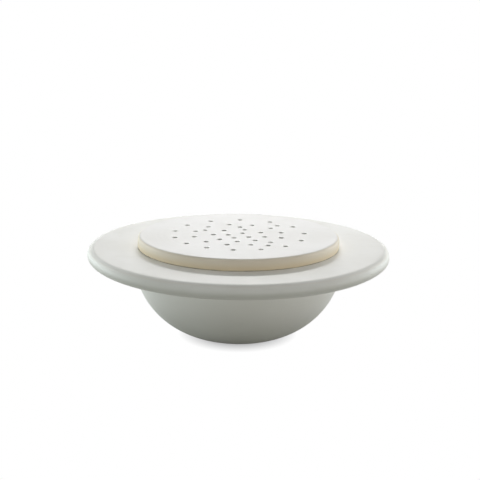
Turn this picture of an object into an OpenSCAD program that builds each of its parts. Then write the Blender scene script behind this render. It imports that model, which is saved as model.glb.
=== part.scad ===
// Two-piece ceramic flower frog: a shallow footed bowl with a wide, soft-edged rim, and a
// pierced lid that rests on the rim over the mouth and holds the stems upright in the water.
// Millimetres, +Z up. The origin is the centre of the foot, on the surface that it stands on.

/* [Rim] */
// Diameter of the rim, which is the widest part of the bowl
rim_d = 254; // [206:2:320]
// Height of the flat seat that the lid rests on, above the table
seat_h = 77.5; // [60:0.5:110]
// How much higher the rim's outer ridge stands than the seat
rim_rise = 1.2; // [0:0.1:4]
// Width of the rounding over the rim's outer edge
edge_top_w = 6; // [3:0.5:18]
// Depth of the rounding over the rim's outer edge
edge_top_h = 6.1; // [3:0.1:9]
// Width of the rounding under the rim's outer edge
edge_under_w = 22; // [8:0.5:26]
// Depth of the rounding under the rim's outer edge
edge_under_h = 9; // [4:0.1:12]

/* [Bowl] */
// Outside diameter of the bowl's wall, just under the rim
bowl_d = 177; // [142:1:213]
// Thickness of the bowl's wall
wall_t = 8.5; // [5:0.5:12]
// Thickness of the bowl's floor
floor_t = 8.5; // [5:0.5:12]
// Radius of the level middle of the bowl, from which its side curves up to the wall
curve_r = 19.5; // [8:0.5:24]
// Depth of the straight wall inside the mouth, down from the seat
shoulder_h = 9.5; // [4:0.5:15]
// Radius of the blend where the wall runs into the underside of the rim
root_r = 5; // [2:0.5:8]
// Radius of the softened edge of the mouth
mouth_edge_r = 1.5; // [0.5:0.1:2.5]

/* [Foot] */
// Diameter of the foot
foot_d = 64; // [60:1:100]
// Width of the ring of the foot that touches the table
foot_ring_w = 6; // [3:0.5:12]
// Depth of the shallow recess turned inside the foot ring
foot_recess_h = 1.2; // [0.4:0.1:2]
// Radius of the softened outer edge of the foot
foot_edge_r = 0.8; // [0.3:0.1:1.5]

/* [Lid] */
// Width of the ledge that the lid rests on, from the mouth out to the lid's edge
seat_w = 5; // [3:0.5:12]
// Thickness of the lid's plate
lid_t = 9.5; // [6:0.5:14]
// Radius of the lid's top edge
lid_top_r = 2.5; // [1:0.25:4]
// Radius of the lid's bottom edge
lid_under_r = 0.8; // [0.3:0.1:1.5]

/* [Locating ring] */
// Gap all round between the lid's locating ring and the mouth
ring_gap = 1; // [0.4:0.1:2]
// Wall of the locating ring under the lid
ring_w = 5; // [3:0.5:8]
// Depth that the locating ring drops into the mouth
ring_h = 5; // [3:0.5:10]
// Radius of the locating ring's softened lower edges
ring_edge_r = 1.2; // [0.4:0.1:1.4]

/* [Stem holes] */
// Diameter of each stem hole
hole_d = 4.5; // [3:0.1:6]
// Distance from the inside of the locating ring to the outermost ring of holes
hole_margin = 18.5; // [10:0.5:24]

/* [Hidden] */

rim_r = rim_d / 2;
bowl_r = bowl_d / 2;
foot_r = foot_d / 2;
hole_r = hole_d / 2;
mouth_r = bowl_r - wall_t;
lid_r = mouth_r + seat_w;
ring_out_r = mouth_r - ring_gap;
ring_in_r = ring_out_r - ring_w;

// Heights on the rim: its ridge, its widest line and its underside
ridge_z = seat_h + rim_rise;
widest_z = ridge_z - edge_top_h;
under_z = widest_z - edge_under_h;

// The side is a quarter of an ellipse about this height, side_w wide and curve_z deep
curve_z = seat_h - shoulder_h;
side_w = bowl_r - curve_r;

// Steps along one quarter of a curve: the small roundings, the rim's edges, and the side
small_steps = 4;
edge_steps = 10;
side_steps = 20;
// Sides of each revolved body and of each hole
round_fn = 96;
hole_fn = 32;
// Flat kept on the seat outside the lid, and upright kept on the foot over its soft edge
seat_flat = 1;
foot_flat = 0.2;
// How far a hole's cutter runs past each face of the lid
cut_over = 2;

// The pierced pattern was laid out by hand, in loose rings. Lengths here are shares of the
// outermost ring's radius. Each ring is [holes, radius, first angle, [x, y] of its centre,
// swing, angle of the swing], and the swing is how far its spacing drifts round the ring.
pattern_r = ring_in_r - hole_margin;
rings = [
    [14, 1.00, 10, [0.01, 0.00], 7, 160],
    [12, 0.68, 14, [-0.01, -0.03], 3, 240],
    [8, 0.39, 37, [0.01, -0.10], 5, 220],
    [4, 0.17, 68, [0.01, -0.11], 10, 130]
];
// Single holes that fill the four widest gaps between the rings
fillers = [[0.61, 0.59], [-0.52, 0.23], [0.43, -0.72], [0.02, 0.47]];

// Points of a quarter (or less) of an ellipse about [cx, cz], from angle a0 to angle a1
function arc(cx, cz, rx, rz, a0, a1, steps) =
    [for (i = [0 : steps]) let (a = a0 + (a1 - a0) * i / steps) [cx + rx * cos(a), cz + rz * sin(a)]];

// Radius of the bowl's side at a height, and its height at a radius
function side_r_at(z) = curve_r + side_w * sqrt(1 - pow((curve_z - z) / curve_z, 2));
function side_z_at(r) = curve_z - curve_z * sqrt(1 - pow((r - curve_r) / side_w, 2));

// The smooth fall of the rim's top, from just inside the ridge at r_out to the seat at r_in
function rise(r_out, r_in, steps) =
    [for (i = [1 : steps])
        let (s = i / steps)
        [r_out + (r_in - r_out) * s, seat_h + rim_rise * (1 + cos(180 * s)) / 2]];

// Angle on a ring's own circle, with the drift of its spacing
function ring_angle(ring, i) =
    let (a = ring[2] + 360 * i / ring[0])
    a + ring[4] * cos(a - ring[5]);

hole_places = concat(
    [for (ring = rings) for (i = [0 : ring[0] - 1])
        let (a = ring_angle(ring, i))
        pattern_r * (ring[3] + ring[1] * [cos(a), sin(a)])],
    [for (place = fillers) pattern_r * place]
);

module bowl() {
    root_z = under_z - root_r;
    root_x = side_r_at(root_z) + root_r;
    // The rounding under the rim stops where the wall's blend begins
    under_w = min(edge_under_w, rim_r - root_x);
    side_from = acos((foot_r - curve_r) / side_w);
    side_to = asin((curve_z - root_z) / curve_z);
    recess_r = foot_r - foot_ring_w;
    // The foot's soft edge stays under the place where the side begins
    soft_r = min(foot_edge_r, side_z_at(foot_r) - foot_flat);
    outline = concat(
        [[0, foot_recess_h], [recess_r - foot_recess_h, foot_recess_h], [recess_r, 0]],
        arc(foot_r - soft_r, soft_r, soft_r, soft_r, -90, 0, small_steps),
        arc(curve_r, curve_z, side_w, curve_z, -side_from, -side_to, side_steps),
        arc(root_x, root_z, root_r, root_r, 180 - 90 / small_steps, 90, small_steps - 1),
        arc(rim_r - under_w, widest_z, under_w, edge_under_h, -90, 0, edge_steps),
        arc(rim_r - edge_top_w, widest_z, edge_top_w, edge_top_h, 90 / edge_steps, 90, edge_steps - 1),
        rise(rim_r - edge_top_w, lid_r + seat_flat, edge_steps),
        arc(mouth_r + mouth_edge_r, seat_h - mouth_edge_r, mouth_edge_r, mouth_edge_r, 90, 180, small_steps),
        arc(curve_r, curve_z, side_w - wall_t, curve_z - floor_t, 0, -90, side_steps),
        [[0, floor_t]]
    );
    color([0.90, 0.90, 0.88])
        rotate_extrude($fn = round_fn)
            polygon(outline);
}

module lid_blank() {
    outline = concat(
        [[0, 0], [ring_in_r, 0]],
        arc(ring_in_r + ring_edge_r, ring_edge_r - ring_h, ring_edge_r, ring_edge_r, 180, 270, small_steps),
        arc(ring_out_r - ring_edge_r, ring_edge_r - ring_h, ring_edge_r, ring_edge_r, -90, 0, small_steps),
        [[ring_out_r, 0]],
        arc(lid_r - lid_under_r, lid_under_r, lid_under_r, lid_under_r, -90, 0, small_steps),
        arc(lid_r - lid_top_r, lid_t - lid_top_r, lid_top_r, lid_top_r, 0, 90, small_steps * 2),
        [[0, lid_t]]
    );
    rotate_extrude($fn = round_fn)
        polygon(outline);
}

module lid() {
    color([0.92, 0.91, 0.89])
        translate([0, 0, seat_h])
            difference() {
                lid_blank();
                for (place = hole_places)
                    translate([place[0], place[1], -cut_over])
                        cylinder(h = lid_t + 2 * cut_over, r = hole_r, $fn = hole_fn);
            }
}

bowl();
lid();
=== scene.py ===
import math

import bpy
from mathutils import Matrix, Vector


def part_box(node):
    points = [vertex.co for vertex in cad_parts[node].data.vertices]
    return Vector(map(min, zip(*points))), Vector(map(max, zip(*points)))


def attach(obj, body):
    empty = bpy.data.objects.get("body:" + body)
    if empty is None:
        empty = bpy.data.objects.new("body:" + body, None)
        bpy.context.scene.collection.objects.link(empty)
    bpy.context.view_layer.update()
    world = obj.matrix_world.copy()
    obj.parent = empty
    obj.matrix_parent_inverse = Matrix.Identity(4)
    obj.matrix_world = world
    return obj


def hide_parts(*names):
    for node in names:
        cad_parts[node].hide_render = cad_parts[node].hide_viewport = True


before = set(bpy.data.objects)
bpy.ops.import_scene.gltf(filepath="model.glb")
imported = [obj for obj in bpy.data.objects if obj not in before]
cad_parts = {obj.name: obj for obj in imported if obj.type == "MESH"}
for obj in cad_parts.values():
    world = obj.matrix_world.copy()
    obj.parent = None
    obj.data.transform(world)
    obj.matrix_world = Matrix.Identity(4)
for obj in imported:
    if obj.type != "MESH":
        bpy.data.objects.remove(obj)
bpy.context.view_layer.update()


# ---- The camera --------------------------------------------------------------------------
# A short telephoto lens a little above the rim, as the piece is seen on a table from a seat.
# It looks just over the middle of the rim, and leans by less than one degree.

bowl_low, bowl_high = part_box("bowl")
lid_low, lid_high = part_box("lid")
rim_r = bowl_high.x
ridge_z = bowl_high.z

camera_distance = 6 * rim_r
aim_height = 0.080
camera_height_angle = math.radians(13.7)
camera_lean = math.radians(0.65)

camera_data = bpy.data.cameras.new("camera")
camera_data.sensor_width = 36
camera_data.lens = 67.4
camera_data.shift_x = 0.0031
camera_data.shift_y = 0.0040
camera_data.clip_start = 0.01
camera = bpy.data.objects.new("camera", camera_data)
bpy.context.scene.collection.objects.link(camera)
look_at = Vector((0, 0, aim_height))
back_off = Vector((0, -math.cos(camera_height_angle), math.sin(camera_height_angle))) * camera_distance
camera.matrix_world = (
    Matrix.Translation(look_at + back_off)
    @ Matrix.Rotation(math.pi / 2 - camera_height_angle, 4, "X")
    @ Matrix.Rotation(camera_lean, 4, "Z")
)
bpy.context.scene.camera = camera


# ---- The table ---------------------------------------------------------------------------
# A plain table top, wide enough to have no edge in sight. It shows over-exposed to white, and
# throws as little light up at the piece as a grey board would.

def new_material(name):
    """A new material, with the nodes, links and Principled shader of its tree."""
    material = bpy.data.materials.new(name)
    material.use_nodes = True
    tree = material.node_tree
    return material, tree.nodes, tree.links, tree.nodes["Principled BSDF"]


table_half = 6.0
table_corners = [
    (-table_half, -table_half, 0),
    (table_half, -table_half, 0),
    (table_half, table_half, 0),
    (-table_half, table_half, 0),
]
table_mesh = bpy.data.meshes.new("table")
table_mesh.from_pydata(table_corners, [], [(0, 1, 2, 3)])
table = bpy.data.objects.new("table", table_mesh)
bpy.context.scene.collection.objects.link(table)

table_paint, nodes, links, shader = new_material("table_paint")
shader.inputs["Base Color"].default_value = (0.35, 0.35, 0.30, 1)
shader.inputs["Roughness"].default_value = 0.9
shader.inputs["Specular IOR Level"].default_value = 0.0
# Seen directly it is over-exposed to white, all but the tight shadow round the foot. In the
# glaze's gloss it is white too, but for the deeper shade under the whole bowl.
contact_reach = 0.007
contact_softness = 0.25
shade_reach = 0.075


def open_share(reach):
    """How much of the sky over the table top is open, out to a distance."""
    node = nodes.new("ShaderNodeAmbientOcclusion")
    node.samples = 32
    node.inputs["Distance"].default_value = reach
    return node.outputs["AO"]


contact = nodes.new("ShaderNodeMath")
contact.operation = "POWER"
links.new(open_share(contact_reach), contact.inputs[0])
contact.inputs[1].default_value = contact_softness
seen = nodes.new("ShaderNodeLightPath")
white = nodes.new("ShaderNodeMix")
links.new(seen.outputs["Is Camera Ray"], white.inputs[0])
links.new(open_share(shade_reach), white.inputs[2])
links.new(contact.outputs[0], white.inputs[3])
glow = nodes.new("ShaderNodeEmission")
links.new(white.outputs[0], glow.inputs["Strength"])
either = nodes.new("ShaderNodeMath")
either.operation = "MAXIMUM"
links.new(seen.outputs["Is Camera Ray"], either.inputs[0])
links.new(seen.outputs["Is Glossy Ray"], either.inputs[1])
choice = nodes.new("ShaderNodeMixShader")
links.new(either.outputs[0], choice.inputs[0])
links.new(shader.outputs[0], choice.inputs[1])
links.new(glow.outputs[0], choice.inputs[2])
links.new(choice.outputs[0], nodes["Material Output"].inputs["Surface"])
table_mesh.materials.append(table_paint)


# ---- The bowl ----------------------------------------------------------------------------
# One piece of off-white stoneware: foot, bowl and wide rim turned together on the wheel, the
# rim's edge softened with a sponge, then dipped in a satin white glaze. The foot is wiped bare.

seat_z = 0.0775
rim_edge_over = (0.006, 0.0061)
rim_edge_under = (0.022, 0.009)
wall_r = 0.0885
wall_thick = 0.0085
curve_r = 0.0195
shoulder = 0.0095
root_blend = 0.005
foot_r = 0.032
foot_ring = 0.006
foot_hollow = 0.0012
foot_soft = 0.0008
foot_inner_soft = 0.0006
hollow_soft = 0.0005
hollow_slope = 0.002
mouth_soft = 0.0015
seat_flat = 0.001
bowl_facets = 256
rim_sway = 0.0004
# The sway follows one circle through a slow noise: how fine the noise is, and which circle
sway_scale = 0.9
sway_circle = 3.7
lid_r = lid_high.x
mouth_r = wall_r - wall_thick
curve_z = seat_z - shoulder
side_reach = wall_r - curve_r


def arc(cx, cz, rx, rz, first, last, steps):
    """Points of part of an ellipse in the turning plane, from one angle in degrees to another."""
    angles = [math.radians(first + (last - first) * i / steps) for i in range(steps + 1)]
    return [(cx + rx * math.cos(a), cz + rz * math.sin(a)) for a in angles]


def drop_doubles(points, gap=1e-5):
    """The outline without a point that lies on the one before it."""
    kept = [points[0]]
    for point in points[1:]:
        if math.dist(point, kept[-1]) > gap:
            kept.append(point)
    return kept


def outline_object(name, points):
    """A loose chain of points in the turning plane, radius along X and height along Z."""
    mesh = bpy.data.meshes.new(name)
    mesh.from_pydata([(r, 0, z) for r, z in points], [(i, i + 1) for i in range(len(points) - 1)], [])
    thing = bpy.data.objects.new(name, mesh)
    bpy.context.scene.collection.objects.link(thing)
    return thing


def side_radius(z):
    """The bowl's outer radius at a height on its curved side."""
    return curve_r + side_reach * math.sqrt(1 - ((curve_z - z) / curve_z) ** 2)


def bowl_outline():
    """From the middle of the underside, out round the rim, and in to the middle of the floor.

    It is handed over the other way round: faces point outwards where the clay is on the right
    of an outline's path, with the radius to the right and the height up.
    """
    widest_z = ridge_z - rim_edge_over[1]
    under_z = widest_z - rim_edge_under[1]
    root_z = under_z - root_blend
    root_r = side_radius(root_z) + root_blend
    side_first = -math.degrees(math.acos((foot_r - curve_r) / side_reach))
    side_last = -math.degrees(math.asin((curve_z - root_z) / curve_z))
    ring_in = foot_r - foot_ring
    seat_out = lid_r + seat_flat
    hollow_r = ring_in - hollow_slope
    hollow_z = foot_hollow - hollow_soft
    ridge_r = rim_r - rim_edge_over[0]
    points = [(0, foot_hollow), (ring_in * 0.5, foot_hollow)]
    points += arc(hollow_r, hollow_z, hollow_soft, hollow_soft, 90, 0, 3)
    points += arc(ring_in, foot_inner_soft, foot_inner_soft, foot_inner_soft, 180, 270, 3)
    points += arc(foot_r - foot_soft, foot_soft, foot_soft, foot_soft, -90, 0, 5)
    points += arc(curve_r, curve_z, side_reach, curve_z, side_first, side_last, 36)
    points += arc(root_r, root_z, root_blend, root_blend, 170, 90, 8)
    points += arc(rim_r - rim_edge_under[0], widest_z, rim_edge_under[0], rim_edge_under[1], -90, 0, 22)
    points += arc(ridge_r, widest_z, rim_edge_over[0], rim_edge_over[1], 0, 90, 18)
    steps = 16
    for i in range(1, steps + 1):
        share = i / steps
        r = ridge_r + (seat_out - ridge_r) * share
        points.append((r, seat_z + (ridge_z - seat_z) * (1 + math.cos(math.pi * share)) / 2))
    points += arc(mouth_r + mouth_soft, seat_z - mouth_soft, mouth_soft, mouth_soft, 90, 180, 6)
    points += arc(curve_r, curve_z, side_reach - wall_thick, curve_z - wall_thick, 0, -90, 36)
    points += [(curve_r * 0.5, wall_thick), (0, wall_thick)]
    return drop_doubles(points)[::-1]


class NodeBench:
    """A node tree under construction: add() makes a node and joins its inputs in one line."""

    def __init__(self, tree):
        self.tree = tree
        if tree.bl_idname == "GeometryNodeTree":
            self.entry = tree.nodes.new("NodeGroupInput")
            self.exit = tree.nodes.new("NodeGroupOutput")

    def socket(self, name, kind, default=None):
        """A named input of the tree, and the output that the other nodes take it from."""
        made = self.tree.interface.new_socket(name=name, in_out="INPUT", socket_type=kind)
        if default is not None:
            made.default_value = default
        return self.entry.outputs[name]

    def result(self, source):
        """The tree's one result."""
        kind = "NodeSocketGeometry"
        self.tree.interface.new_socket(name="Geometry", in_out="OUTPUT", socket_type=kind)
        self.tree.links.new(source, self.exit.inputs["Geometry"])

    def add(self, kind, inputs=None, **settings):
        """A node with its settings, and its inputs given by name or place."""
        node = self.tree.nodes.new(kind)
        for key, value in settings.items():
            setattr(node, key, value)
        for key, value in (inputs or {}).items():
            if isinstance(value, bpy.types.NodeSocket):
                self.tree.links.new(value, node.inputs[key])
            else:
                node.inputs[key].default_value = value
        return node

    def group(self, tree, inputs):
        """A finished tree used inside this one."""
        node = self.add("GeometryNodeGroup", None, node_tree=tree)
        for name, source in inputs.items():
            self.tree.links.new(source, node.inputs[name])
        return node

    def glazed(self, geometry, material):
        """Ends the tree: real geometry, all of it in one glaze."""
        real = self.add("GeometryNodeRealizeInstances", {"Geometry": geometry})
        inputs = {"Geometry": real.outputs[0], "Material": material}
        self.result(self.add("GeometryNodeSetMaterial", inputs).outputs[0])

    def math(self, operation, a, b=0.0):
        """One sum, product or function of two numbers."""
        return self.add("ShaderNodeMath", {0: a, 1: b}, operation=operation).outputs[0]

    def step(self, value, start, end):
        """A soft step of a value, from 0 at start to 1 at end; end may be the lower of the two."""
        inputs = {"Value": value, "From Min": start, "From Max": end}
        return self.add("ShaderNodeMapRange", inputs, interpolation_type="SMOOTHSTEP").outputs[0]

    def blend(self, factor, first, second):
        """One colour turning into another."""
        return self.add("ShaderNodeMix", {0: factor, 6: first, 7: second}, data_type="RGBA").outputs[2]


def wheel_tree():
    """Turns an outline round the upright axis. The rim sways a little, as a fired rim does."""
    bench = NodeBench(bpy.data.node_groups.new("turned_on_the_wheel", "GeometryNodeTree"))
    outline = bench.socket("Outline", "NodeSocketGeometry")
    facets = bench.socket("Facets Round", "NodeSocketInt", 192)
    sway = bench.socket("Rim Sway", "NodeSocketFloat", 0.0)
    sway_from = bench.socket("Sway From Radius", "NodeSocketFloat", 0.1)
    sway_to = bench.socket("Sway To Radius", "NodeSocketFloat", 0.2)
    count = bench.add("GeometryNodeAttributeDomainSize", {"Geometry": outline}, component="MESH")
    across = bench.math("ADD", facets, 1.0)
    stations = count.outputs["Point Count"]
    grid = bench.add("GeometryNodeMeshGrid", {"Vertices X": stations, "Vertices Y": across})
    index = bench.add("GeometryNodeInputIndex").outputs[0]
    station = bench.math("FLOOR", bench.math("DIVIDE", bench.math("ADD", index, 0.5), across))
    turn = bench.math("SUBTRACT", index, bench.math("MULTIPLY", station, across))
    angle = bench.math("DIVIDE", bench.math("MULTIPLY", turn, 2 * math.pi), facets)
    position = bench.add("GeometryNodeInputPosition").outputs[0]
    sample = bench.add(
        "GeometryNodeSampleIndex",
        {"Geometry": outline, "Value": position, "Index": station},
        data_type="FLOAT_VECTOR",
        domain="POINT",
    )
    split = bench.add("ShaderNodeSeparateXYZ", {0: sample.outputs["Value"]})
    radius, height = split.outputs["X"], split.outputs["Z"]
    cosine, sine = bench.math("COSINE", angle), bench.math("SINE", angle)
    compass = bench.add("ShaderNodeCombineXYZ", {"X": cosine, "Y": sine, "Z": sway_circle}).outputs[0]
    slow = {"Vector": compass, "Scale": sway_scale, "Detail": 1.0}
    drift = bench.add("ShaderNodeTexNoise", slow, noise_dimensions="3D")
    weight = bench.add(
        "ShaderNodeMapRange",
        {"Value": radius, "From Min": sway_from, "From Max": sway_to},
        interpolation_type="SMOOTHSTEP",
    ).outputs[0]
    dip = bench.math("MULTIPLY", bench.math("MULTIPLY", drift.outputs[0], weight), sway)
    radius = bench.math("SUBTRACT", radius, dip)
    height = bench.math("SUBTRACT", height, dip)
    x = bench.math("MULTIPLY", radius, cosine)
    y = bench.math("MULTIPLY", radius, sine)
    place = bench.add("ShaderNodeCombineXYZ", {"X": x, "Y": y, "Z": height}).outputs[0]
    turned = bench.add("GeometryNodeSetPosition", {"Geometry": grid.outputs["Mesh"], "Position": place})
    closed = bench.add("GeometryNodeMergeByDistance", {"Geometry": turned.outputs[0], "Distance": 1e-6})
    bench.result(closed.outputs[0])
    return bench.tree


wheel = wheel_tree()


def set_input(modifier, name, value):
    """Sets a modifier's input, found by its name and set by its identifier."""
    for item in modifier.node_group.interface.items_tree:
        if item.item_type == "SOCKET" and item.in_out == "INPUT" and item.name == name:
            modifier[item.identifier] = value


def fired(name, maker, tree, settings):
    """Runs a tree on an object and keeps the result as a plain closed mesh at the origin."""
    modifier = maker.modifiers.new(tree.name, "NODES")
    modifier.node_group = tree
    for key, value in settings.items():
        set_input(modifier, key, value)
    bpy.context.view_layer.update()
    depsgraph = bpy.context.evaluated_depsgraph_get()
    mesh = bpy.data.meshes.new_from_object(
        maker.evaluated_get(depsgraph),
        preserve_all_data_layers=True,
        depsgraph=depsgraph,
    )
    mesh.name = name
    maker.modifiers.remove(modifier)
    bpy.data.objects.remove(maker)
    piece = bpy.data.objects.new(name, mesh)
    bpy.context.scene.collection.objects.link(piece)
    return piece


def bowl_tree():
    """The whole bowl: its outline turned on the wheel and glazed."""
    bench = NodeBench(bpy.data.node_groups.new("bowl_body", "GeometryNodeTree"))
    outline = bench.socket("Geometry", "NodeSocketGeometry")
    facets = bench.socket("Facets Round", "NodeSocketInt", 192)
    sway = bench.socket("Rim Sway", "NodeSocketFloat", 0.0)
    sway_from = bench.socket("Sway From Radius", "NodeSocketFloat", 0.1)
    sway_to = bench.socket("Sway To Radius", "NodeSocketFloat", 0.2)
    glaze = bench.socket("Glaze", "NodeSocketMaterial")
    settings = {
        "Outline": outline,
        "Facets Round": facets,
        "Rim Sway": sway,
        "Sway From Radius": sway_from,
        "Sway To Radius": sway_to,
    }
    body = bench.group(wheel, settings)
    smooth = bench.add("GeometryNodeSetShadeSmooth", {"Geometry": body.outputs[0]})
    bench.glazed(smooth.outputs[0], glaze)
    return bench.tree


clay_colour = (0.50, 0.44, 0.35, 1)
dark_clay_colour = (0.40, 0.352, 0.28, 1)
# Thin glaze warmed by the clay; where it deepens down the lid's edge, that is painted shade
thin_glaze_and_shade_colour = (0.75, 0.63, 0.44, 1)
# Painted light: a paler white, blended in where the piece is meant to look more lit
painted_light_colour = (0.94, 0.93, 0.90, 1)
speck_colour = (0.30, 0.22, 0.13, 1)

# Noise scales are in features a metre: slow clouds, a mottle of 1 cm, and grain of 1 mm
cloud_scale = 14.0
mottle_scale = 95.0
grain_scale = 1100.0
# The clouds run from a shade lighter to a shade darker and warmer, channel by channel
light_cloud = 1.03
dark_cloud = (0.955, 0.95, 0.93)
mottle_strength = 0.35
# A cell of 6 mm may hold one speck of under a millimetre, and fewer than one in ten does
speck_cells = 170.0
speck_edge = 0.075
speck_core = 0.03
speck_draw = (0.90, 0.93)
speck_strength = 0.55
ragged_edge = 0.0012
satin = 0.46
mottled_gloss = 0.12
thin_dulling = 0.08
clay_dryness = 0.40
# Relief in millimetres, but for the turning rings' spacing in metres and wander in radians
ring_spacing = 0.0042
ring_wander = 9.0
ring_relief = 0.010
wave_relief = 0.07
grain_relief = 0.010
clay_relief = 0.12
glaze_thickness = 0.15


def satin_glaze(name, colour, bare_clay, thin_glaze_and_shade, painted_light=None):
    """Satin glaze over buff stoneware, in object space.

    The mask makers for bare clay, thin glaze and painted light each take the bench, the distance
    from the axis and the height. They give where there is no glaze, where it lies so thinly that
    the clay warms it (its deepening on the lid's edge is painted shade), and where painted light
    makes the glaze paler and whiter.
    """
    material, nodes, links, shader = new_material(name)
    bench = NodeBench(material.node_tree)
    place = bench.add("ShaderNodeTexCoord").outputs["Object"]
    split = bench.add("ShaderNodeSeparateXYZ", {0: place})
    flat_inputs = {"X": split.outputs["X"], "Y": split.outputs["Y"]}
    flat_place = bench.add("ShaderNodeCombineXYZ", flat_inputs).outputs[0]
    radius = bench.add("ShaderNodeVectorMath", {0: flat_place}, operation="LENGTH").outputs["Value"]
    height = split.outputs["Z"]

    def noise(scale, detail):
        inputs = {"Vector": place, "Scale": scale, "Detail": detail}
        return bench.add("ShaderNodeTexNoise", inputs).outputs[0]

    clouds = noise(cloud_scale, 3.0)
    mottle = noise(mottle_scale, 4.0)
    grain = noise(grain_scale, 2.0)

    # Colour: slow clouds, a fine mottle, sparse iron specks, then thin glaze (its deepening on the
    # lid's edge is painted shade), painted light that turns the glaze paler, and bare clay
    lighter = tuple(c * light_cloud for c in colour) + (1,)
    darker = tuple(c * k for c, k in zip(colour, dark_cloud)) + (1,)
    shade = bench.blend(bench.step(clouds, 0.30, 0.70), lighter, darker)
    mottled = bench.math("MULTIPLY", bench.step(mottle, 0.52, 0.72), mottle_strength)
    shade = bench.blend(mottled, shade, darker)
    cells = bench.add("ShaderNodeTexVoronoi", {"Vector": place, "Scale": speck_cells, "Randomness": 1.0})
    draw = bench.add("ShaderNodeSeparateColor", {0: cells.outputs["Color"]}).outputs[0]
    chosen = bench.step(draw, *speck_draw)
    speck = bench.math("MULTIPLY", bench.step(cells.outputs["Distance"], speck_edge, speck_core), chosen)
    shade = bench.blend(bench.math("MULTIPLY", speck, speck_strength), shade, speck_colour)
    thin_and_shade = thin_glaze_and_shade(bench, radius, height)
    shade = bench.blend(thin_and_shade, shade, thin_glaze_and_shade_colour)
    # Painted light: the colour turns a paler white where the mask says, standing in for more light
    if painted_light:
        shade = bench.blend(painted_light(bench, radius, height), shade, painted_light_colour)
    ragged = bench.math("MULTIPLY", bench.math("SUBTRACT", mottle, 0.5), ragged_edge)
    bare = bare_clay(bench, bench.math("ADD", radius, ragged), bench.math("ADD", height, ragged))
    clay = bench.blend(bench.step(grain, 0.35, 0.70), clay_colour, dark_clay_colour)
    shade = bench.blend(bare, shade, clay)
    links.new(shade, shader.inputs["Base Color"])

    # Gloss: satin, duller where the glaze is thin, and dry on the bare clay
    gloss = bench.math("ADD", satin, bench.math("MULTIPLY", mottle, mottled_gloss))
    gloss = bench.math("ADD", gloss, bench.math("MULTIPLY", thin_and_shade, thin_dulling))
    gloss = bench.math("ADD", gloss, bench.math("MULTIPLY", bare, clay_dryness))
    links.new(gloss, shader.inputs["Roughness"])

    # Relief: soft turning rings, the glaze's slow waves, and clay grain under it
    turn = bench.math("ADD", bench.math("MULTIPLY", radius, 0.8), height)
    phase = bench.math("MULTIPLY", turn, 2 * math.pi / ring_spacing)
    phase = bench.math("ADD", phase, bench.math("MULTIPLY", clouds, ring_wander))
    rings = bench.math("MULTIPLY", bench.math("SINE", phase), ring_relief)
    waves = bench.math("MULTIPLY", mottle, wave_relief)
    roughened = bench.math("ADD", grain_relief, bench.math("MULTIPLY", bare, clay_relief))
    grit = bench.math("MULTIPLY", grain, roughened)
    edge_of_glaze = bench.math("MULTIPLY", bare, -glaze_thickness)
    relief = bench.math("ADD", bench.math("ADD", rings, waves), bench.math("ADD", grit, edge_of_glaze))
    bump = bench.add("ShaderNodeBump", {"Height": relief, "Distance": 0.001})
    links.new(bump.outputs[0], shader.inputs["Normal"])
    return material


def bowl_bare_clay(bench, radius, height):
    """The wiped foot, and the ledge that the lid stands on, wiped so that the lid doesn't stick."""
    foot = bench.step(height, 0.0018, 0.0012)
    foot = bench.math("MULTIPLY", foot, bench.step(radius, foot_r + 0.004, foot_r + 0.003))
    ledge = bench.step(radius, lid_r - 0.0006, lid_r - 0.0010)
    ledge = bench.math("MULTIPLY", ledge, bench.step(radius, mouth_r, mouth_r + 0.0005))
    ledge = bench.math("MULTIPLY", ledge, bench.step(height, seat_z - 0.0010, seat_z - 0.0005))
    return bench.math("MAXIMUM", foot, ledge)


crest_share = 0.35
crest_warmth = 0.12


def bowl_thin_glaze(bench, radius, height):
    """The crest of the rim's edge, where the glaze pulls back."""
    crest_r = rim_r - rim_edge_over[0] * crest_share
    crest = bench.step(radius, crest_r - 0.0015, crest_r)
    crest = bench.math("MULTIPLY", crest, bench.step(radius, rim_r, crest_r + 0.0008))
    crest = bench.math("MULTIPLY", crest, bench.step(height, seat_z - 0.0015, seat_z))
    return bench.math("MULTIPLY", crest, crest_warmth)


# Painted light: heights over which the paler colour sets in under the rim's edge, and above the foot
painted_light_below_edge = (0.0705, 0.0670)
painted_light_above_foot = (0.010, 0.045)
painted_light_share = 0.8


def bowl_painted_light(bench, radius, height):
    """Painted light: the underside of the rim and the upper bowl made paler, the lower bowl left darker.
    """
    below_edge = bench.step(height, *painted_light_below_edge)
    above_foot = bench.step(height, *painted_light_above_foot)
    return bench.math("MULTIPLY", bench.math("MULTIPLY", below_edge, above_foot), painted_light_share)


bowl_colour = (0.790, 0.790, 0.755)
bowl_glaze = satin_glaze("bowl_glaze", bowl_colour, bowl_bare_clay, bowl_thin_glaze, bowl_painted_light)

bowl = fired(
    "bowl_body",
    outline_object("bowl_outline", bowl_outline()),
    bowl_tree(),
    {
        "Facets Round": bowl_facets,
        "Rim Sway": rim_sway,
        "Sway From Radius": lid_r + 0.004,
        "Sway To Radius": rim_r,
        "Glaze": bowl_glaze,
    },
)
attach(bowl, "bowl")
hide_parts("bowl")


# ---- The lid -----------------------------------------------------------------------------
# A thick round plate of the same stoneware, with a ring under it that drops into the mouth.
# Its stem holes were pierced by hand with a tube, in loose rings, and their rims sponged soft.

lid_top = lid_high.z
plate_thick = lid_top - seat_z
lid_top_soft = 0.0025
lid_under_soft = 0.0008
# The upright edge swells a little: it leans in by this many degrees at its top and bottom
side_crown = 10
ring_gap = 0.001
ring_wall = 0.005
ring_soft = 0.0012
ring_root_out = 0.0006
ring_root_in = 0.0015
lid_facets = 256
ring_out = mouth_r - ring_gap
ring_in = ring_out - ring_wall
flat_lip = 0.0004

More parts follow.
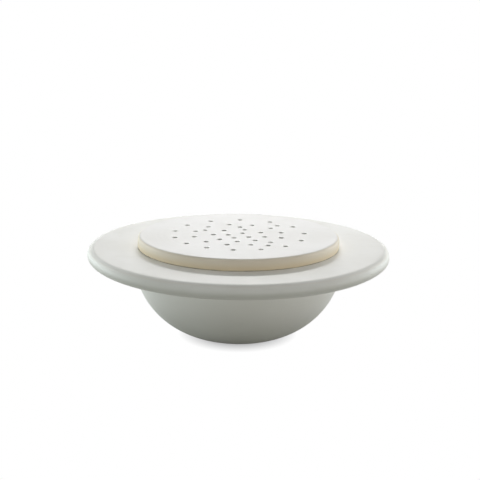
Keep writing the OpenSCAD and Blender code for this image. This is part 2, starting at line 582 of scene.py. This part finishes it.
hole_r = 0.00225
hole_soft = 0.0003
hole_facets = 32
narrowest_hole = 0.94
pattern_r = ring_in - 0.0185
hole_rings = [
    (14, 1.00, 10, (0.01, 0.00), 7, 160),
    (12, 0.68, 14, (-0.01, -0.03), 3, 240),
    (8, 0.39, 37, (0.01, -0.10), 5, 220),
    (4, 0.17, 68, (0.01, -0.11), 10, 130),
]
filler_holes = [(0.61, 0.59), (-0.52, 0.23), (0.43, -0.72), (0.02, 0.47)]


def hole_places():
    """Where each hole's axis meets the top of the lid."""
    spots = []
    for count, share, first, (cx, cy), swing, swing_at in hole_rings:
        for i in range(count):
            angle = first + 360 * i / count
            angle = math.radians(angle + swing * math.cos(math.radians(angle - swing_at)))
            spots.append((cx + share * math.cos(angle), cy + share * math.sin(angle)))
    return [(x * pattern_r, y * pattern_r, lid_top) for x, y in spots + filler_holes]


def lid_outline():
    """From the flat of the top, round the edge and the ring, to the flat of the underside."""
    lean = math.sin(math.radians(side_crown))
    upright = math.cos(math.radians(side_crown))
    crown_r = (plate_thick - (lid_top_soft + lid_under_soft) * (1 - lean)) / (2 * lean)
    crown_z = (lid_top + seat_z - (lid_top_soft - lid_under_soft) * (1 - lean)) / 2
    top_x = lid_r - crown_r + (crown_r - lid_top_soft) * upright
    low_x = lid_r - crown_r + (crown_r - lid_under_soft) * upright
    top_z = lid_top - lid_top_soft
    low_z = seat_z + lid_under_soft
    points = [(top_x - flat_lip, lid_top)]
    points += arc(top_x, top_z, lid_top_soft, lid_top_soft, 90, side_crown, 12)
    points += arc(lid_r - crown_r, crown_z, crown_r, crown_r, side_crown, -side_crown, 8)
    points += arc(low_x, low_z, lid_under_soft, lid_under_soft, -side_crown, -90, 6)
    root_z = seat_z - ring_root_out
    points += arc(ring_out + ring_root_out, root_z, ring_root_out, ring_root_out, 90, 180, 4)
    points += arc(ring_out - ring_soft, lid_low.z + ring_soft, ring_soft, ring_soft, 0, -90, 6)
    points += arc(ring_in + ring_soft, lid_low.z + ring_soft, ring_soft, ring_soft, -90, -180, 6)
    root_z = seat_z - ring_root_in
    points += arc(ring_in - ring_root_in, root_z, ring_root_in, ring_root_in, 0, 90, 5)
    points += [(ring_in - ring_root_in - flat_lip, seat_z)]
    return drop_doubles(points)


def hole_outline():
    """One hole's wall, from the flat of the top to the flat of the underside, then turned round."""
    points = [(hole_r + hole_soft + flat_lip, 0)]
    points += arc(hole_r + hole_soft, -hole_soft, hole_soft, hole_soft, 90, 180, 6)
    points += arc(hole_r + hole_soft, hole_soft - plate_thick, hole_soft, hole_soft, 180, 270, 6)
    points += [(hole_r + hole_soft + flat_lip, -plate_thick)]
    return drop_doubles(points)[::-1]


def lid_tree():
    """The lid: its turned edge, its pierced top and underside, and the wall of every hole."""
    bench = NodeBench(bpy.data.node_groups.new("lid_body", "GeometryNodeTree"))
    places = bench.socket("Geometry", "NodeSocketGeometry")
    edge_outline = bench.socket("Edge Outline", "NodeSocketObject")
    wall_outline = bench.socket("Hole Outline", "NodeSocketObject")
    facets = bench.socket("Facets Round", "NodeSocketInt", 192)
    round_hole = bench.socket("Hole Facets", "NodeSocketInt", 24)
    top_flat = bench.socket("Top Flat Radius", "NodeSocketFloat", 0.08)
    under_flat = bench.socket("Underside Flat Radius", "NodeSocketFloat", 0.07)
    hole_flat = bench.socket("Hole Lip Radius", "NodeSocketFloat", 0.003)
    top = bench.socket("Top Height", "NodeSocketFloat", 0.09)
    thickness = bench.socket("Plate Thickness", "NodeSocketFloat", 0.009)
    glaze = bench.socket("Glaze", "NodeSocketMaterial")
    narrowest = bench.socket("Narrowest Hole", "NodeSocketFloat", 0.9)
    seed = bench.socket("Seed", "NodeSocketInt", 5)

    edge_shape = bench.add("GeometryNodeObjectInfo", {"Object": edge_outline})
    edge = bench.group(wheel, {"Outline": edge_shape.outputs["Geometry"], "Facets Round": facets})
    wall_shape = bench.add("GeometryNodeObjectInfo", {"Object": wall_outline})
    wall = bench.group(wheel, {"Outline": wall_shape.outputs["Geometry"], "Facets Round": round_hole})

    # Each hole is a little narrower than the tube that cut it, some more than others
    spread = {2: narrowest, 3: 1.0, "Seed": seed}
    width = bench.add("FunctionNodeRandomValue", spread, data_type="FLOAT").outputs[1]
    stretch = bench.add("ShaderNodeCombineXYZ", {"X": width, "Y": width, "Z": 1.0}).outputs[0]
    walls = bench.add(
        "GeometryNodeInstanceOnPoints",
        {"Points": places, "Instance": wall.outputs[0], "Scale": stretch},
    )

    hole_rim = {"Resolution": round_hole, "Radius": hole_flat}
    hole_circle = bench.add("GeometryNodeCurvePrimitiveCircle", hole_rim)
    hole_circles = bench.add(
        "GeometryNodeInstanceOnPoints",
        {"Points": places, "Instance": hole_circle.outputs[0], "Scale": stretch},
    )
    real_circles = bench.add("GeometryNodeRealizeInstances", {"Geometry": hole_circles.outputs[0]})

    def pierced_face(radius, drop, flip):
        """A flat round face with every hole left open, at a depth below the top."""
        lower = bench.add("ShaderNodeCombineXYZ", {"Z": bench.math("MULTIPLY", drop, -1.0)}).outputs[0]
        lift = bench.add("ShaderNodeCombineXYZ", {"Z": bench.math("SUBTRACT", top, drop)}).outputs[0]
        circle = bench.add("GeometryNodeCurvePrimitiveCircle", {"Resolution": facets, "Radius": radius})
        border = bench.add("GeometryNodeTransform", {"Geometry": circle.outputs[0], "Translation": lift})
        lowered = {"Geometry": real_circles.outputs[0], "Translation": lower}
        openings = bench.add("GeometryNodeTransform", lowered)
        both = bench.add("GeometryNodeJoinGeometry")
        bench.tree.links.new(border.outputs[0], both.inputs[0])
        bench.tree.links.new(openings.outputs[0], both.inputs[0])
        face = bench.add("GeometryNodeFillCurve", {"Curve": both.outputs[0]})
        drawn = bench.add("GeometryNodeTransform", {"Geometry": face.outputs[0], "Translation": lift})
        if flip:
            drawn = bench.add("GeometryNodeFlipFaces", {"Mesh": drawn.outputs[0]})
        return drawn.outputs[0]

    joined = bench.add("GeometryNodeJoinGeometry")
    real_walls = bench.add("GeometryNodeRealizeInstances", {"Geometry": walls.outputs[0]})
    top_face = pierced_face(top_flat, 0.0, False)
    under_face = pierced_face(under_flat, thickness, True)
    for part in (edge.outputs[0], real_walls.outputs[0], top_face, under_face):
        bench.tree.links.new(part, joined.inputs[0])
    closed = bench.add("GeometryNodeMergeByDistance", {"Geometry": joined.outputs[0], "Distance": 1e-5})
    smooth = bench.add("GeometryNodeSetShadeSmooth", {"Geometry": closed.outputs[0]})
    bench.glazed(smooth.outputs[0], glaze)
    return bench.tree


def lid_bare_clay(bench, radius, height):
    """The ring of the underside that stands on the bowl's ledge, wiped like the ledge."""
    outside_ring = bench.step(radius, ring_out + 0.0002, ring_out + 0.0006)
    return bench.math("MULTIPLY", outside_ring, bench.step(height, seat_z + 0.0008, seat_z + 0.0003))


# The warm tint's share at the top of the upright edge; below, it rises to the full tint as painted shade
top_warmth = 0.62


def lid_thin_glaze_and_shade(bench, radius, height):
    """The upright edge, where the glaze ran off and the clay warms it. Its tint deepens
    from the soft top edge to the bottom as painted shade.
    """
    upright = bench.step(radius, lid_r - lid_top_soft, lid_r - 0.0008)
    lower = bench.step(height, lid_top - 0.002, seat_z)
    down = bench.math("ADD", top_warmth, bench.math("MULTIPLY", lower, 1.0 - top_warmth))
    return bench.math("MULTIPLY", upright, down)


def lid_holes_painted_light(bench, radius, height):
    """Painted light: the walls of the stem holes made paler, against the shade inside them."""
    inside = bench.step(radius, ring_in, ring_in - 0.001)
    below_top = bench.step(height, lid_top - 0.0001, lid_top - 0.0004)
    above_underside = bench.step(height, seat_z, seat_z + 0.0004)
    return bench.math("MULTIPLY", bench.math("MULTIPLY", inside, below_top), above_underside)


lid_colour = (0.780, 0.772, 0.750)
lid_glaze = satin_glaze("lid_glaze", lid_colour, lid_bare_clay, lid_thin_glaze_and_shade, lid_holes_painted_light)

places_mesh = bpy.data.meshes.new("hole_places")
places_mesh.from_pydata(hole_places(), [], [])
places_object = bpy.data.objects.new("hole_places", places_mesh)
bpy.context.scene.collection.objects.link(places_object)
edge_points = lid_outline()
edge_object = outline_object("lid_outline", edge_points)
wall_object = outline_object("hole_outline", hole_outline())
lid = fired(
    "lid_body",
    places_object,
    lid_tree(),
    {
        "Edge Outline": edge_object,
        "Hole Outline": wall_object,
        "Facets Round": lid_facets,
        "Hole Facets": hole_facets,
        "Top Flat Radius": edge_points[0][0],
        "Underside Flat Radius": edge_points[-1][0],
        "Hole Lip Radius": hole_r + hole_soft + flat_lip,
        "Top Height": lid_top,
        "Plate Thickness": plate_thick,
        "Narrowest Hole": narrowest_hole,
        "Glaze": lid_glaze,
    },
)
for helper in (edge_object, wall_object):
    bpy.data.objects.remove(helper)
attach(lid, "lid")
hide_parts("lid")


# ---- The light ---------------------------------------------------------------------------
# A white tent of soft boxes. The key stands behind the piece, a third of the way up, so that
# the lid shades its own front edge. Low boxes all round light the bowl, the weakest in front.

tent_radius = 1.4
tent_centre = Vector((0, 0, 0.06))
full_box_watts = 12
cool = (0.90, 1.0, 1.0)
plain = (1.0, 1.0, 1.0)
warm = (1.0, 1.0, 0.94)
# Name, angle round the table clockwise from behind, angle up, width, height, strength, colour
tent = [
    ("key", 0, 33, 0.6, 0.1, 0.60, plain),
    ("right_high", 90, 60, 0.9, 0.4, 0.12, plain),
    ("front_high", 180, 65, 1.0, 0.4, 0.31, plain),
    ("back_low", 0, 5, 1.4, 0.22, 0.32, plain),
    ("back_left", 305, 20, 0.5, 0.3, 0.30, plain),
    ("back_left_low", 305, 5, 0.7, 0.22, 0.42, cool),
    ("back_right", 55, 20, 0.5, 0.3, 0.30, plain),
    ("back_right_low", 55, 5, 0.7, 0.22, 0.38, cool),
    ("left_low", 270, 5, 0.9, 0.22, 0.44, cool),
    ("right_low", 90, 5, 0.9, 0.22, 0.30, plain),
    ("front_low", 180, 5, 1.0, 0.22, 0.16, warm),
    ("front_left_low", 225, 5, 0.7, 0.22, 0.06, cool),
    ("front_right_low", 135, 5, 0.7, 0.22, 0.11, warm),
]


def soft_box(name, round_angle, up_angle, width, height, strength, colour):
    """A soft box on the tent, turned to face the piece, and itself out of sight."""
    data = bpy.data.lights.new(name, "AREA")
    data.shape = "RECTANGLE"
    data.size = width
    data.size_y = height
    data.energy = strength * full_box_watts
    data.color = colour
    box = bpy.data.objects.new(name, data)
    bpy.context.scene.collection.objects.link(box)
    turn = math.radians(round_angle)
    up = math.radians(up_angle)
    outward = Vector((math.sin(turn) * math.cos(up), math.cos(turn) * math.cos(up), math.sin(up)))
    box.location = tent_centre + outward * tent_radius
    box.rotation_euler = outward.to_track_quat("Z", "Y").to_euler()
    box.visible_camera = False


for tent_row in tent:
    soft_box(*tent_row)

# The tent's white cloth shows behind the piece and in its gloss, and adds no light of its own
world = bpy.data.worlds.new("tent_cloth")
world.use_nodes = True
nodes, links = world.node_tree.nodes, world.node_tree.links
nodes["Background"].inputs["Color"].default_value = (1, 1, 1, 1)
seen = nodes.new("ShaderNodeLightPath")
either = nodes.new("ShaderNodeMath")
either.operation = "MAXIMUM"
links.new(seen.outputs["Is Camera Ray"], either.inputs[0])
links.new(seen.outputs["Is Glossy Ray"], either.inputs[1])
links.new(either.outputs[0], nodes["Background"].inputs["Strength"])
bpy.context.scene.world = world
bpy.context.scene.view_settings.view_transform = "Standard"
